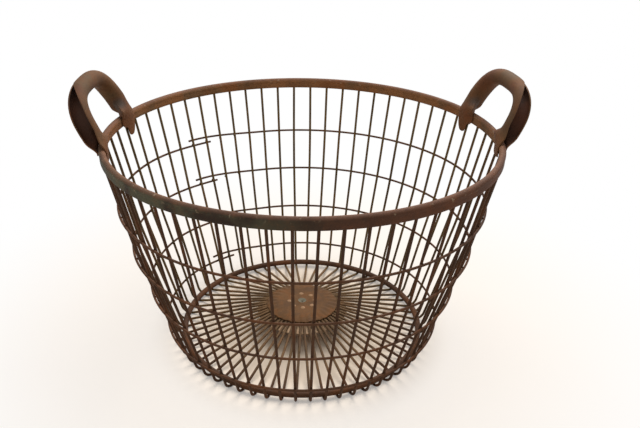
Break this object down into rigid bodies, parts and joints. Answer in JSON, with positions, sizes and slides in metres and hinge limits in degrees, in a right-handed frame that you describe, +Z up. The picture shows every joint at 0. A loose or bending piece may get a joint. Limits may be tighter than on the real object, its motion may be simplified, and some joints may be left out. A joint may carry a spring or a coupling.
{
  "type": "wire harvest basket",
  "caption": "Round open wire basket with a folded steel rim, bent wire ribs, lapped hoops, a domed wire floor and rolled sheet handles.",
  "frame": {"origin": "on the ground under the centre of the basket's overall box", "axes": "+Z up through the basket's axis, +X through the right handle's side, +Y to the back"},
  "size_m": [0.4774, 0.4296, 0.3078],
  "materials": {
    "rim_steel": "dull rusted strip",
    "rib_wire": "dark rusted wire",
    "hoop_wire": "rusted wire",
    "ring_rod": "rusted rod",
    "plate_steel": "rusted pressed sheet",
    "handle_steel": "worn rolled sheet"
  },
  "bodies": {
    "root": {"rim": "rim_steel", "rib_pair_01": "rib_wire", "rib_pair_02": "rib_wire", "rib_pair_03": "rib_wire", "rib_pair_04": "rib_wire", "rib_pair_05": "rib_wire", "rib_pair_06": "rib_wire", "rib_pair_07": "rib_wire", "rib_pair_08": "rib_wire", "rib_pair_09": "rib_wire", "rib_pair_10": "rib_wire", "rib_pair_11": "rib_wire", "rib_pair_12": "rib_wire", "rib_pair_13": "rib_wire", "rib_pair_14": "rib_wire", "rib_pair_15": "rib_wire", "rib_pair_16": "rib_wire", "rib_pair_17": "rib_wire", "rib_pair_18": "rib_wire", "rib_pair_19": "rib_wire", "rib_pair_20": "rib_wire", "rib_pair_21": "rib_wire", "rib_pair_22": "rib_wire", "rib_pair_23": "rib_wire", "rib_pair_24": "rib_wire", "rib_pair_25": "rib_wire", "rib_pair_26": "rib_wire", "rib_pair_27": "rib_wire", "rib_pair_28": "rib_wire", "rib_pair_29": "rib_wire", "rib_pair_30": "rib_wire", "hoop_1": "hoop_wire", "hoop_2": "hoop_wire", "hoop_3": "hoop_wire", "hoop_4": "hoop_wire", "base_ring": "ring_rod", "floor_plate_upper": "plate_steel", "floor_plate_lower": "plate_steel", "handle_right": "handle_steel", "handle_left": "handle_steel"}
  },
  "joints": []
}
